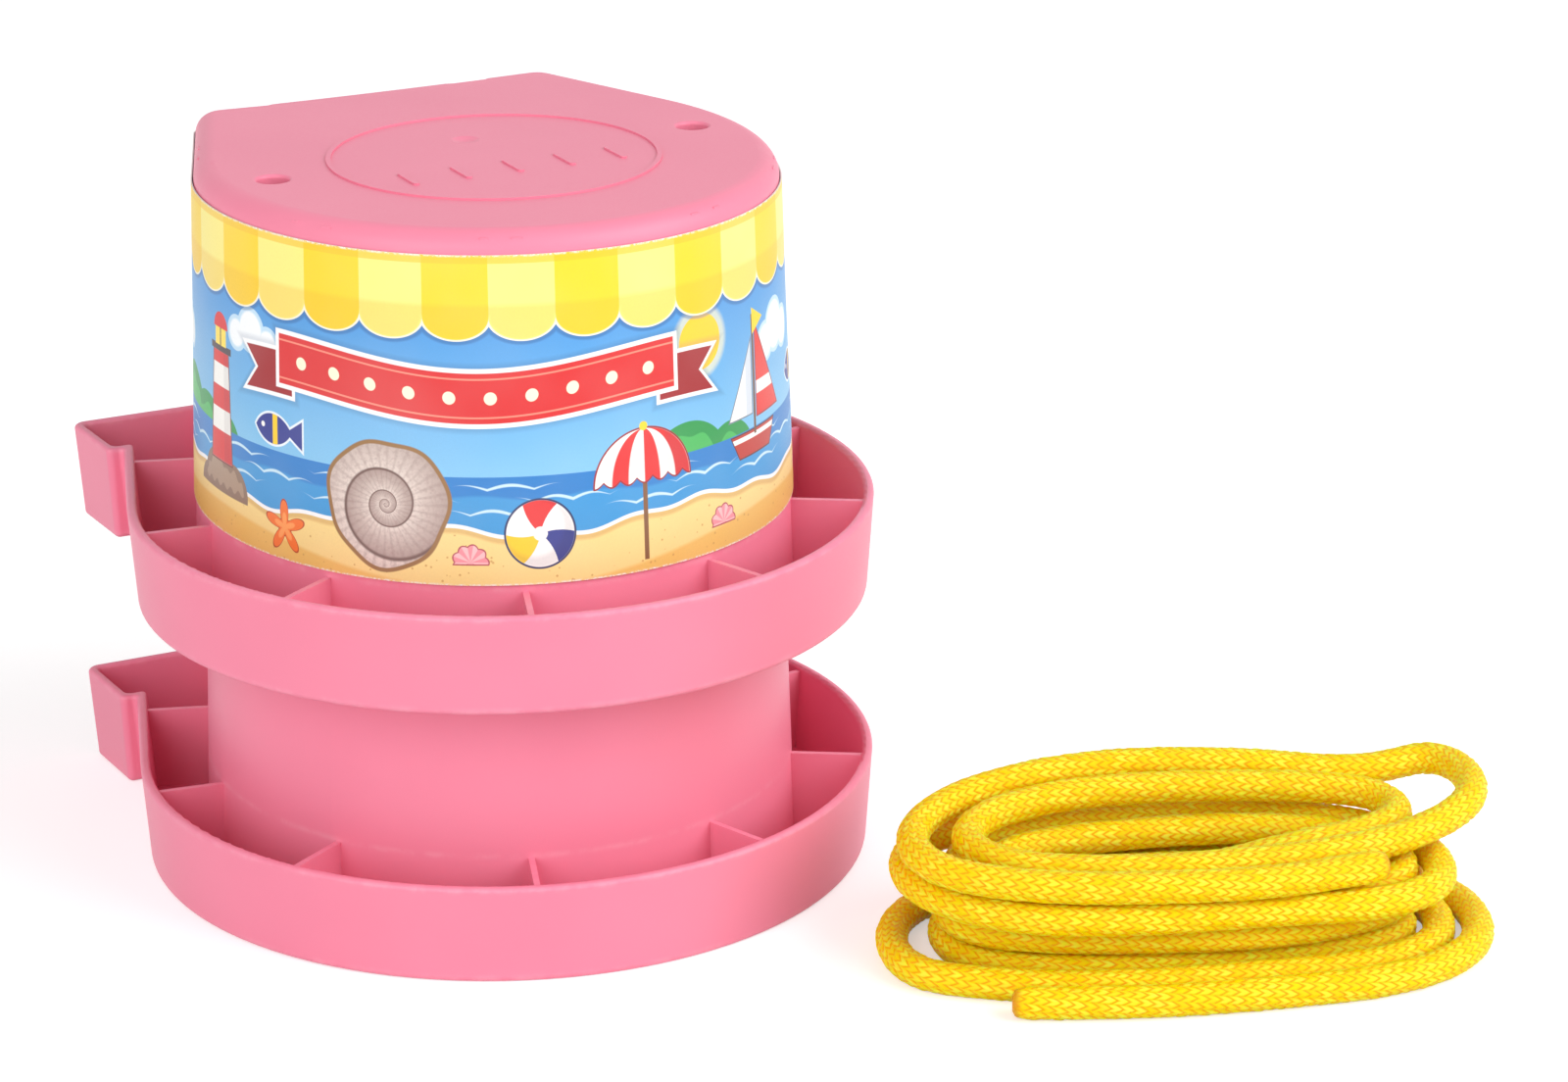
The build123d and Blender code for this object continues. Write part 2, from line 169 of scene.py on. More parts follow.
def loosened(points, moves):
    """The route as it lies by hand: each layer sways, and some corners lie elsewhere."""
    centre = Vector((*HANK_CENTRE, 0.0))
    turn = Matrix.Rotation(math.radians(HANK_TURN), 3, "Z")
    moved = []
    for number, point in enumerate(points):
        along = (turn.inverted() @ (point - centre)).x
        layer = (point.z - ROPE_DIAMETER / 2 - FLOOR_GAP) / LAYER_RISE
        phase = math.pi * min(layer, TOP_LAYER)
        height = SWAY_ON_FLOOR + (SWAY - SWAY_ON_FLOOR) * min(layer, 1.0)
        across = height * math.sin(2 * math.pi * along / SWAY_LENGTH + phase + SWAY_START)
        longer = -LONGER * along * math.cos(phase) * min(layer, 1.0)
        by_hand = Vector(moves.get(number, (0.0, 0.0, 0.0)))
        moved.append(point + turn @ Vector((longer, across, 0.0)) + by_hand)
    return moved


def rope_centreline(name, points):
    """Evenly spaced points, in metres, along the NURBS spline that has these control points."""
    data = bpy.data.curves.new(name + "_route", "CURVE")
    data.dimensions = "3D"
    spline = data.splines.new("NURBS")
    spline.points.add(len(points) - 1)
    for knot, point in zip(spline.points, points):
        knot.co = (*(point * MM), 1.0)
    spline.order_u = 3
    spline.use_endpoint_u = True
    spline.resolution_u = ROUTE_STEPS
    route = bpy.data.objects.new(name + "_route", data)
    bpy.context.scene.collection.objects.link(route)
    line = bpy.data.meshes.new_from_object(route)
    raw = np.array([v.co for v in line.vertices])
    bpy.data.objects.remove(route)
    bpy.data.curves.remove(data)
    walked = np.concatenate([[0.0], np.cumsum(np.linalg.norm(np.diff(raw, axis=0), axis=1))])
    count = int(walked[-1] / (RING_STEP * MM))
    even = np.linspace(0.0, walked[-1], count + 1)
    return np.stack([np.interp(even, walked, raw[:, axis]) for axis in range(3)], axis=1), even


def knitted_tube(name, centres, walked):
    """A tube of V stitches in columns along the rope, with rounded sealed ends and a UV map."""
    ways = np.gradient(centres, axis=0)
    ways /= np.linalg.norm(ways, axis=1)[:, None]
    side = np.cross(ways[0], (0.0, 0.0, 1.0))
    side /= np.linalg.norm(side)
    turns = np.arange(RING_SEGMENTS) / RING_SEGMENTS
    column = turns * STITCH_COLUMNS
    across = np.abs((column % 1.0) - 0.5) * 2.0
    stagger = (np.floor(column) % 2) * 0.5
    vertices, melt = [], []
    total = walked[-1]
    for centre, way, along in zip(centres, ways, walked):
        side = side - way * side.dot(way)
        side /= np.linalg.norm(side)
        other = np.cross(way, side)
        row = along / (STITCH_LENGTH * MM) + stagger + STITCH_SLANT * across
        # Each stitch is a round loop with a valley on both sides. The sine scatters their sizes.
        size = 0.8 + 0.4 * (np.sin(np.floor(row) * 78.2 + np.floor(column) * 12.9) * 437.5 % 1.0)
        loop = np.sqrt(np.clip(1.0 - (2.0 * (row % 1.0) - 1.0) ** 2, 0.0, 1.0))
        valley = np.clip(np.minimum(1.0 - across, across + 0.35) * 3.0, 0.0, 1.0)
        from_end = min(along, total - along)
        sealed = np.clip(1.0 - from_end / (SEALED_LENGTH * MM), 0.0, 1.0)
        height = STITCH_DEPTH * MM * (0.2 + 0.8 * loop * size) * (0.35 + 0.65 * valley)
        height = height * (1.0 - 0.8 * sealed)
        radius = ROPE_CORE_RADIUS * MM * (1.0 - SEALED_THINNER * sealed) + height
        edge = END_ROUNDING * MM
        if from_end < edge:
            radius = radius - edge * (1.0 - math.sqrt(1.0 - (1.0 - from_end / edge) ** 2)) * 0.9
        angle = (turns + along / (ROPE_TWIST * MM)) * 2 * math.pi
        outward = np.cos(angle)[:, None] * side + np.sin(angle)[:, None] * other
        vertices.append(centre + radius[:, None] * outward)
        melt.append(np.full(RING_SEGMENTS, sealed))
    rings = len(vertices)
    vertices = np.concatenate(vertices + [centres[:1], centres[-1:]])
    melt = np.concatenate(melt + [[1.0, 1.0]])
    faces, uvs = [], []
    for ring in range(rings - 1):
        base = ring * RING_SEGMENTS
        for k in range(RING_SEGMENTS):
            after = (k + 1) % RING_SEGMENTS
            above = base + RING_SEGMENTS
            faces.append((base + k, base + after, above + after, above + k))
            u0, u1 = k / RING_SEGMENTS, (k + 1) / RING_SEGMENTS
            v0, v1 = walked[ring], walked[ring + 1]
            uvs += [(u0, v0), (u1, v0), (u1, v1), (u0, v1)]
    start_hub, end_hub = rings * RING_SEGMENTS, rings * RING_SEGMENTS + 1
    last = (rings - 1) * RING_SEGMENTS
    for k in range(RING_SEGMENTS):
        after = (k + 1) % RING_SEGMENTS
        faces.append((start_hub, after, k))
        faces.append((end_hub, last + k, last + after))
        uvs += [(0.0, 0.0)] * 3 + [(0.0, total)] * 3
    mesh = bpy.data.meshes.new(name)
    mesh.from_pydata(vertices.tolist(), [], faces)
    layer = mesh.uv_layers.new(name="rope_uv")
    layer.data.foreach_set("uv", np.array(uvs, dtype=np.float32).ravel())
    attribute = mesh.attributes.new("melt", "FLOAT", "POINT")
    attribute.data.foreach_set("value", melt.astype(np.float32))
    mesh.polygons.foreach_set("use_smooth", [True] * len(mesh.polygons))
    mesh.update()
    rope = bpy.data.objects.new(name, mesh)
    bpy.context.scene.collection.objects.link(rope)
    return rope


def new_material(name):
    material = bpy.data.materials.new(name)
    material.use_nodes = True
    tree = material.node_tree
    return material, tree, tree.nodes["Principled BSDF"]


def put(socket, value):
    """Links a socket to a value's socket, or sets it to a plain value."""
    if isinstance(value, bpy.types.NodeSocket):
        socket.id_data.links.new(value, socket)
    else:
        socket.default_value = value


def calc(tree, operation, *values, clamp=False):
    node = tree.nodes.new("ShaderNodeMath")
    node.operation = operation
    node.use_clamp = clamp
    for socket, value in zip(node.inputs, values):
        put(socket, value)
    return node.outputs[0]


def noise(tree, vector, scale, detail=2.0, roughness=0.5):
    node = tree.nodes.new("ShaderNodeTexNoise")
    put(node.inputs["Vector"], vector)
    put(node.inputs["Scale"], scale)
    put(node.inputs["Detail"], detail)
    put(node.inputs["Roughness"], roughness)
    return node.outputs["Fac"]


def spread(tree, value, low, high, to_low=0.0, to_high=1.0, smooth=False):
    """Maps a value's range to another and clamps it."""
    node = tree.nodes.new("ShaderNodeMapRange")
    node.interpolation_type = "SMOOTHSTEP" if smooth else "LINEAR"
    for socket, given in zip(node.inputs, (value, low, high, to_low, to_high)):
        put(socket, given)
    return node.outputs[0]


def mix_colour(tree, factor, first, second, blend="MIX"):
    node = tree.nodes.new("ShaderNodeMix")
    node.data_type = "RGBA"
    node.blend_type = blend
    put(node.inputs[0], factor)
    put(node.inputs[6], first)
    put(node.inputs[7], second)
    return node.outputs[2]


def bump(tree, height, strength, distance, normal=None):
    node = tree.nodes.new("ShaderNodeBump")
    put(node.inputs["Height"], height)
    put(node.inputs["Strength"], strength)
    put(node.inputs["Distance"], distance)
    if normal is not None:
        put(node.inputs["Normal"], normal)
    return node.outputs[0]


def new_group(name, inputs, outputs):
    """An empty group with number sockets, and a vector socket for each input without a value."""
    group = bpy.data.node_groups.new(name, "ShaderNodeTree")
    for label, value in inputs.items():
        kind = "NodeSocketVector" if value is None else "NodeSocketFloat"
        socket = group.interface.new_socket(label, in_out="INPUT", socket_type=kind)
        if value is not None:
            socket.default_value = value
    for label in outputs:
        group.interface.new_socket(label, in_out="OUTPUT", socket_type="NodeSocketFloat")
    return group, group.nodes.new("NodeGroupInput").outputs, group.nodes.new("NodeGroupOutput").inputs


def placed(tree, group, given):
    """Places a group in a material with its values, and gives its outputs."""
    node = tree.nodes.new("ShaderNodeGroup")
    node.node_tree = group
    for label, value in given.items():
        put(node.inputs[label], value)
    return node.outputs


# Grain and a slow mottle, from 0 to 1: fibres on rope, spark finish on the pots, tooth on paper.
fine_grain, given, result = new_group(
    "fine_grain", {"Place": None, "Grain": 2000.0, "Mottle": 40.0}, ("Grain", "Mottle"))
for label, detail, roughness in (("Grain", 3.0, 0.6), ("Mottle", 2.0, 0.5)):
    cloud = noise(fine_grain, given["Place"], given[label], detail, roughness)
    put(result[label], spread(fine_grain, cloud, 0.3, 0.7))


def uv_numbers(tree, name):
    """The two numbers of a UV map, and the map's own vector."""
    uv = tree.nodes.new("ShaderNodeUVMap")
    uv.uv_map = name
    split = tree.nodes.new("ShaderNodeSeparateXYZ")
    put(split.inputs[0], uv.outputs[0])
    return split.outputs[0], split.outputs[1], uv.outputs[0]


def joined(tree, x, y):
    node = tree.nodes.new("ShaderNodeCombineXYZ")
    put(node.inputs[0], x)
    put(node.inputs[1], y)
    return node.outputs[0]


def object_place(tree):
    return tree.nodes.new("ShaderNodeTexCoord").outputs["Object"]


# The rope's yellow is given a painted highlight on a stitch's crown, by chance more or less, and
# painted orange shade between stitches.
# The columns and rows are those of the mesh.
STRANDS = 4.0
rope_yellow, tree, shader = new_material("rope_yellow_cord")
round_it, along, _ = uv_numbers(tree, "rope_uv")
columns = calc(tree, "MULTIPLY", round_it, float(STITCH_COLUMNS))
column = calc(tree, "FLOOR", columns)
off_middle = calc(tree, "ABSOLUTE", calc(tree, "SUBTRACT", calc(tree, "FRACT", columns), 0.5))
across = calc(tree, "MULTIPLY", off_middle, 2.0)
stagger = calc(tree, "MULTIPLY", calc(tree, "MODULO", column, 2.0), 0.5)
leaning = calc(tree, "ADD", stagger, calc(tree, "MULTIPLY", across, STITCH_SLANT))
rows = calc(tree, "ADD", calc(tree, "MULTIPLY", along, 1.0 / (STITCH_LENGTH * MM)), leaning)
phase = calc(tree, "FRACT", rows)
off_crown = calc(tree, "ABSOLUTE", calc(tree, "SUBTRACT", calc(tree, "MULTIPLY", phase, 2.0), 1.0))
loop = calc(tree, "SUBTRACT", 1.0, calc(tree, "POWER", off_crown, 2.0))
chance = tree.nodes.new("ShaderNodeTexWhiteNoise")
put(chance.inputs["Vector"], joined(tree, column, calc(tree, "FLOOR", rows)))
strands = calc(tree, "SINE", calc(tree, "MULTIPLY", phase, 2 * math.pi * STRANDS))
position = object_place(tree)
fibre = placed(tree, fine_grain, {"Place": position, "Grain": 1500.0, "Mottle": 300.0})
crown = calc(tree, "MULTIPLY", spread(tree, loop, 0.3, 0.95), spread(tree, across, 1.0, 0.6))
stitch_painted_shading = spread(tree, loop, 0.0, 0.85, smooth=True)
painted_highlight = calc(tree, "MULTIPLY", crown, spread(tree, chance.outputs["Value"], 0.1, 0.9))
mottle = spread(tree, fibre["Mottle"], 0.0, 1.0, 0.0, 0.2)
# Painted shade: between the stitches the yellow is mixed to a deep orange.
yellow = mix_colour(tree, stitch_painted_shading, (1.0, 0.40, 0.0, 1.0), (1.0, 0.72, 0.0, 1.0))
# Painted highlight: the crowns of the stitches are mixed towards a pale yellow.
yellow = mix_colour(tree, painted_highlight, yellow, (1.0, 0.91, 0.06, 1.0))
yellow = mix_colour(tree, mottle, yellow, (1.0, 0.53, 0.0, 1.0))
melt = tree.nodes.new("ShaderNodeAttribute")
melt.attribute_name = "melt"
sealed = spread(tree, melt.outputs["Fac"], 0.3, 0.9, smooth=True)
yellow = mix_colour(tree, sealed, yellow, (0.72, 0.36, 0.01, 1.0))
put(shader.inputs["Base Color"], yellow)
dull = spread(tree, fibre["Grain"], 0.0, 1.0, 0.34, 0.52)
put(shader.inputs["Roughness"], calc(tree, "SUBTRACT", dull, calc(tree, "MULTIPLY", sealed, 0.12)))
shader.inputs["Specular IOR Level"].default_value = 0.14
shader.inputs["Subsurface Weight"].default_value = 1.0
shader.inputs["Subsurface Radius"].default_value = (1.0, 0.4, 0.02)
shader.inputs["Subsurface Scale"].default_value = 3.0 * MM
relief = calc(tree, "MULTIPLY", loop, 0.9)
for value, share in ((strands, 0.25), (fibre["Grain"], 0.35)):
    relief = calc(tree, "ADD", relief, calc(tree, "MULTIPLY", value, share))
put(shader.inputs["Normal"], bump(tree, relief, 0.65, 0.20 * MM))

for name, body in (("rope_lower_layers", "lower_rope"), ("rope_upper_layers", "upper_rope")):
    stations = rope_stations(**ROPES[name])
    corners = loosened(rope_control_points(stations), MOVED_BY_HAND[name])
    centres, walked = rope_centreline(name, corners)
    rope = knitted_tube(name.replace("rope_", "knitted_rope_"), centres, walked)
    rope.data.materials.append(rope_yellow)
    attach(rope, body)
    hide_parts(name)


# ---------------------------------------------------------------- the two pots
# Each is one moulding of pink polypropylene. The mould's fine spark finish leaves a satin grain, and
# the rims and feet are a little paler, partly from wear where they rub in the stack and on the ground
# and partly as a painted highlight on those edges.
STACK_PITCH = 55.0
FOOT_EDGE = 0.6
RIM_TOP = 19.6

# How much a surface near one height is worn and painted with a highlight, broken up by a grain,
# down to none past the reach.
edge_wear_and_highlight, given, result = new_group(
    "edge_wear_and_highlight", {"Place": None, "Edge": 0.0, "Reach": 1.0, "Break": 0.5}, ("WearAndHighlight",))
split = edge_wear_and_highlight.nodes.new("ShaderNodeSeparateXYZ")
put(split.inputs[0], given["Place"])
away = calc(edge_wear_and_highlight, "ABSOLUTE", calc(edge_wear_and_highlight, "SUBTRACT", split.outputs[2], given["Edge"]))
away = calc(edge_wear_and_highlight, "DIVIDE", away, given["Reach"])
nearness = calc(edge_wear_and_highlight, "SUBTRACT", 1.0, away, clamp=True)
put(result["WearAndHighlight"], calc(edge_wear_and_highlight, "MULTIPLY", nearness, given["Break"]))


def pot_plastic(name, foot_height):
    """The pots' pink plastic, paler at the edges of a pot whose foot is at this height, partly from
    wear and partly as a painted highlight.
    """
    material, tree, shader = new_material(name)
    position = object_place(tree)
    skin = placed(tree, fine_grain, {"Place": position, "Grain": 2600.0, "Mottle": 26.0})
    scuffs = noise(tree, position, 210.0, 4.0, 0.65)
    wear_and_highlight_share = 0.0
    for edge, reach in ((FOOT_EDGE, 1.4), (RIM_TOP, 0.9)):
        wear_and_highlight_at_edge = placed(tree, edge_wear_and_highlight, {
            "Place": position, "Edge": (foot_height + edge) * MM, "Reach": reach * MM,
            "Break": spread(tree, scuffs, 0.42, 0.62)})
        wear_and_highlight_share = calc(tree, "MAXIMUM", wear_and_highlight_share, wear_and_highlight_at_edge["WearAndHighlight"])
    pink = mix_colour(tree, skin["Mottle"], (0.85, 0.232, 0.342, 1.0), (0.88, 0.250, 0.362, 1.0))
    # The pale edge pink is partly wear and partly a painted highlight on the rims and feet.
    pink = mix_colour(tree, calc(tree, "MULTIPLY", wear_and_highlight_share, 0.35), pink, (0.93, 0.42, 0.52, 1.0))
    put(shader.inputs["Base Color"], pink)
    satin = spread(tree, skin["Grain"], 0.0, 1.0, 0.36, 0.44)
    put(shader.inputs["Roughness"], calc(tree, "ADD", satin, calc(tree, "MULTIPLY", wear_and_highlight_share, 0.12)))
    put(shader.inputs["Normal"], bump(tree, skin["Grain"], 0.14, 0.05 * MM))
    shader.inputs["Specular IOR Level"].default_value = 0.3
    return material


for name, foot_height in (("lower_pot", 0.0), ("upper_pot", STACK_PITCH)):
    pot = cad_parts[name]
    pot.data.materials.clear()
    pot.data.materials.append(pot_plastic(name + "_pink_plastic", foot_height))


# ---------------------------------------------------------------- the printed paper band
# A strip of coated paper goes round the upper pot's wall and is glued to itself at the back. It is
# printed with a seaside: sky, sea and sand under a striped awning, with a plain panel at the back.
WALL_ARCS = (                # centre, radius, and degrees from the toe, on the pot's right
    ((0.0, 0.0), 59.0, 0.0, 60.0),
    ((-6.93, 4.0), 67.0, 60.0, 111.0),
    ((34.85, 57.0), 9.0, 111.0, 183.64),
)
REAR_CENTRE, REAR_RADIUS = (0.0, 708.5), 643.4
POT_SHIFT_Y = -2.65
WALL_DRAFT = math.atan(1.95 / 55.0)
BAND_LOW, BAND_HEIGHT = 20.6, 64.2
BAND_OFF_WALL = 0.16
PAPER = 0.25
OVERLAP = 9.0
OVERLAP_RAMP = 3.0          # where the sheet climbs onto its own start
OVERLAP_GAP = 0.12
CURL, CURL_LENGTH = 0.3, 4.0
PRINT_STEP = 1.0
BAND_ROWS = 24


def wall_outline():
    """Points and outward normals round the wall's foot, from the back's middle by -X, toe and +X."""
    half = []
    for (x, y), radius, low, high in WALL_ARCS:
        for angle in np.radians(np.linspace(low, high, int(radius * math.radians(high - low)) + 2)):
            normal = (math.sin(angle), -math.cos(angle))
            half.append((x + radius * normal[0], y + radius * normal[1], *normal))
    for x in np.linspace(half[-1][0], 0.0, 36)[1:]:
        normal = (-x / REAR_RADIUS, math.sqrt(1.0 - (x / REAR_RADIUS) ** 2))
        half.append((x, REAR_CENTRE[1] - REAR_RADIUS * normal[1], *normal))
    half = np.array(half)
    return np.concatenate([half[::-1] * (-1.0, 1.0, -1.0, 1.0), half[1:]])


outline = wall_outline()
walked = np.concatenate([[0.0], np.cumsum(np.linalg.norm(np.diff(outline[:, :2], axis=0), axis=1))])
GIRTH = float(walked[-1])
walked -= GIRTH / 2
columns = np.append(np.arange(-GIRTH / 2, GIRTH / 2 + OVERLAP, PRINT_STEP), GIRTH / 2 + OVERLAP)
vertices, print_uv = [], []
for along in columns:
    x, y, normal_x, normal_y = (
        np.interp(along, walked, outline[:, k], period=GIRTH) for k in range(4))
    over = np.clip((along - GIRTH / 2 + OVERLAP_RAMP) / OVERLAP_RAMP, 0.0, 1.0)
    curl = CURL * max(0.0, (along - GIRTH / 2 - OVERLAP + CURL_LENGTH) / CURL_LENGTH) ** 2
    for row in range(BAND_ROWS + 1):
        up = BAND_HEIGHT * row / BAND_ROWS
        slack = 0.04 * math.sin(along * 0.11 + 1.0) * math.sin(up * 0.13)
        slack += 0.03 * math.sin(along * 0.043 - up * 0.09)
        draft = (BAND_LOW + up) * math.tan(WALL_DRAFT)
        off = BAND_OFF_WALL + slack + (PAPER + OVERLAP_GAP) * over + curl - draft
        vertices.append(((x + normal_x * off) * MM, (y + POT_SHIFT_Y + normal_y * off) * MM,
                         (STACK_PITCH + BAND_LOW + up) * MM))
        print_uv.append((along, up))
stride = BAND_ROWS + 1
faces = [(c * stride + r, (c + 1) * stride + r, (c + 1) * stride + r + 1, c * stride + r + 1)
         for c in range(len(columns) - 1) for r in range(BAND_ROWS)]
mesh = bpy.data.meshes.new("printed_paper_band")
mesh.from_pydata(vertices, [], faces)
layer = mesh.uv_layers.new(name="print_uv")
corner_uv = np.array([print_uv[v] for face in faces for v in face], dtype=np.float32)
layer.data.foreach_set("uv", corner_uv.ravel())
band = bpy.data.objects.new("printed_paper_band", mesh)
bpy.context.scene.collection.objects.link(band)
bpy.ops.object.select_all(action="DESELECT")
bpy.context.view_layer.objects.active = band
band.select_set(True)

# The print is drawn on the sheet in millimetres: along from the toe, to the pot's right, and up.
print_side, tree, shader = new_material("printed_paper_front")
along, up, sheet_place = uv_numbers(tree, "print_uv")


def ink(*screen_values):
    """A printed colour given as screen values from 0 to 255."""
    shares = (value / 255 for value in screen_values)
    return (*(v / 12.92 if v < 0.0405 else ((v + 0.055) / 1.055) ** 2.4 for v in shares), 1.0)


WHITE, WARM_WHITE = ink(252, 250, 246), ink(252, 250, 244)
GOLD, YELLOW = ink(255, 214, 30), ink(252, 208, 30)
NAVY, DEEP_BLUE = ink(34, 46, 138), ink(24, 84, 150)
SAND, WOOD, IRON = ink(247, 218, 142), ink(132, 88, 52), ink(70, 52, 60)


def sheet_calc(operation, *values):
    node = tree.nodes.new("ShaderNodeVectorMath")
    node.operation = operation
    for socket, value in zip(node.inputs, values):
        put(socket, value)
    return node.outputs["Value" if operation in ("DISTANCE", "DOT_PRODUCT", "LENGTH") else "Vector"]


def plus(*values):
    total = values[0]
    for value in values[1:]:
        total = calc(tree, "ADD", total, value)
    return total


def times(first, second):
    return calc(tree, "MULTIPLY", first, second)


def less(first, second):
    return calc(tree, "SUBTRACT", first, second)


def wave(value, length, height=1.0, start=0.0):
    """A sine along a value, with its wavelength and height in millimetres."""
    return times(calc(tree, "SINE", plus(times(value, 2 * math.pi / length), start)), height)


# Shapes are distances from their edge in millimetres of the sheet, below 0 inside.
def disc(x, y, radius):
    return less(sheet_calc("DISTANCE", sheet_place, (x, y, 0.0)), radius)


def beyond(x, y, degrees):
    """Everything behind a straight edge through a point that faces this way."""
    way = (math.cos(math.radians(degrees)), math.sin(math.radians(degrees)), 0.0)
    return less(sheet_calc("DOT_PRODUCT", sheet_place, way), x * way[0] + y * way[1])


def either(*shapes):
    shape = shapes[0]
    for other in shapes[1:]:
        shape = calc(tree, "MINIMUM", shape, other)
    return shape


def within(*shapes):
    shape = shapes[0]
    for other in shapes[1:]:
        shape = calc(tree, "MAXIMUM", shape, other)
    return shape


def outside(shape):
    return times(shape, -1.0)


def span(value, middle, half):
    return less(calc(tree, "ABSOLUTE", less(value, middle)), half)


def block(x, y, half_width, half_height):
    return within(span(along, x, half_width), span(up, y, half_height))


def inked(under, shape, colour, grow=0.0, strength=1.0, soft=0.06):
    mask = spread(tree, shape, grow + soft, grow - soft, 0.0, strength)
    return mix_colour(tree, mask, under, colour)


def polar(x, y):
    """Distance and angle about a point of the sheet."""
    angle = calc(tree, "ARCTAN2", less(up, y), less(along, x))
    return sheet_calc("DISTANCE", sheet_place, (x, y, 0.0)), angle


# Sky, clouds, sun, and green islands on the horizon.
art = mix_colour(tree, spread(tree, up, 22.0, 52.0), ink(132, 196, 236), ink(64, 146, 216))
sun = disc(19.0, 42.5, 5.6)
art = inked(art, sun, ink(255, 246, 190), grow=1.6, strength=0.55, soft=0.6)
art = inked(art, sun, ink(255, 206, 32))
clouds = either(
    disc(42.0, 37.0, 4.2), disc(47.5, 39.0, 5.6), disc(53.5, 37.0, 4.4), disc(-86.0, 42.0, 3.6),
    disc(-81.0, 43.6, 4.6), disc(-75.5, 42.0, 3.4), disc(-116.0, 35.0, 4.0), disc(-122.0, 37.0, 5.0),
    disc(84.0, 41.0, 5.0), disc(90.0, 42.0, 4.0), disc(132.0, 36.0, 5.2), disc(126.0, 35.0, 3.8))
art = inked(art, clouds, ink(196, 226, 246))
art = inked(art, clouds, ink(250, 253, 255), grow=-0.9, soft=0.25)
hills = either(
    disc(-113.0, 18.0, 11.0), disc(-101.0, 17.0, 9.5), disc(-92.0, 18.0, 7.0), disc(6.0, 17.0, 8.5),
    disc(15.0, 16.0, 11.5), disc(27.0, 17.0, 8.0), disc(108.0, 16.0, 12.0), disc(120.0, 17.0, 8.5))
art = inked(art, hills, ink(38, 150, 74))
art = inked(art, plus(hills, 2.6, wave(along, 7.0, 0.5)), ink(72, 182, 92), soft=0.1)

# Sea with small crests, then wet and dry sand.
sea = less(up, 21.4)
art = inked(art, sea, ink(36, 126, 200))
art = inked(art, plus(sea, 4.2, wave(along, 23.0, 0.5)), ink(58, 152, 214), soft=0.3)
for height, start, length in ((18.9, 0.0, 9.0), (16.4, 1.3, 7.4), (13.9, 2.2, 8.2)):
    crest = times(calc(tree, "ABSOLUTE", wave(along, 2 * length, 1.0, start)), 0.9)
    thickness = times(plus(wave(along, 31.0, 0.5, start * 3.0), 0.1), 0.5)
    art = inked(art, span(less(up, crest), height, thickness), ink(204, 234, 248), soft=0.1)
shore = less(up, plus(wave(along, 61.0, 1.3), wave(along, 17.0, 0.5, 1.0), 10.6))
art = inked(art, shore, ink(250, 252, 250), grow=0.7)
art = inked(art, shore, ink(224, 186, 112), grow=-0.1)
art = inked(art, shore, SAND, grow=-1.1, soft=0.3)
dune = less(up, plus(wave(along, 140.0, 3.4, -0.4), 2.6))
art = inked(art, dune, ink(238, 194, 104), soft=0.4)
specks = tree.nodes.new("ShaderNodeTexVoronoi")
put(specks.inputs["Vector"], sheet_place)
put(specks.inputs["Scale"], 0.55)
grains = within(less(specks.outputs["Distance"], 0.13), plus(shore, 1.4))
art = inked(art, grains, ink(206, 158, 84), strength=0.8, soft=0.03)

# A lighthouse on a rock.
boulders = either(disc(-95.0, 10.0, 6.5), disc(-88.5, 9.0, 6.0), disc(-99.5, 8.0, 4.5))
rock = within(boulders, beyond(0.0, 8.0, 270.0))
art = inked(art, rock, ink(140, 112, 92))
art = inked(art, plus(rock, 1.6, wave(along, 3.1, 0.5)), ink(170, 142, 118), soft=0.1)
tapered = less(span(along, -93.0, 4.6), times(less(up, 14.0), -0.055))
tower = within(tapered, less(up, 36.5), beyond(0.0, 14.5, 270.0))
art = inked(art, tower, ink(120, 40, 44), grow=0.35)
art = inked(art, tower, WARM_WHITE)
hoops = less(calc(tree, "MODULO", less(up, 16.0), 9.0), 4.5)
art = inked(art, within(tower, hoops), ink(220, 40, 42))
art = inked(art, within(tower, beyond(-91.6, 0.0, 180.0)), ink(90, 60, 80), strength=0.16)
art = inked(art, block(-93.0, 37.2, 4.6, 0.7), IRON)
art = inked(art, block(-93.0, 39.6, 2.5, 1.9), ink(255, 226, 90))
art = inked(art, block(-93.0, 39.6, 0.25, 1.9), IRON)
art = inked(art, within(disc(-93.0, 41.2, 3.2), beyond(0.0, 41.2, 270.0)), ink(220, 40, 42))


def boat(art, x, hull, sail):
    """A sailing boat on the horizon, its mast at x: hull, mainsail, jib and pennant."""
    shape = within(less(span(along, x, 6.4), times(less(up, 17.0), 0.55)), span(up, 18.6, 2.3))
    art = inked(art, shape, ink(96, 34, 30), grow=0.3)
    art = inked(art, shape, hull)
    art = inked(art, within(shape, span(up, 19.9, 0.5)), WARM_WHITE)
    art = inked(art, block(x, 32.0, 0.42, 12.0), ink(112, 74, 44))
    main = within(beyond(x + 1.0, 0.0, 180.0), beyond(0.0, 23.4, 270.0), beyond(x + 11.0, 23.4, 28.5))
    jib = within(beyond(x - 1.0, 0.0, 0.0), beyond(0.0, 24.4, 270.0), beyond(x - 9.0, 24.4, 151.0))
    art = inked(art, main, ink(160, 30, 34), grow=0.3)
    art = inked(art, main, sail)
    art = inked(art, within(main, span(up, 29.0, 1.3)), WARM_WHITE)
    art = inked(art, jib, ink(120, 130, 150), grow=0.3)
    art = inked(art, jib, WARM_WHITE)
    art = inked(art, within(jib, beyond(x - 3.2, 0.0, 180.0)), ink(214, 222, 232))
    pennant = within(beyond(x, 0.0, 180.0), beyond(x + 4.6, 42.6, 60.0), beyond(x + 4.6, 42.6, 300.0))
    return inked(art, pennant, GOLD)


art = boat(art, 36.0, ink(188, 52, 40), ink(226, 48, 40))
art = boat(art, -140.0, ink(40, 70, 150), ink(250, 170, 40))

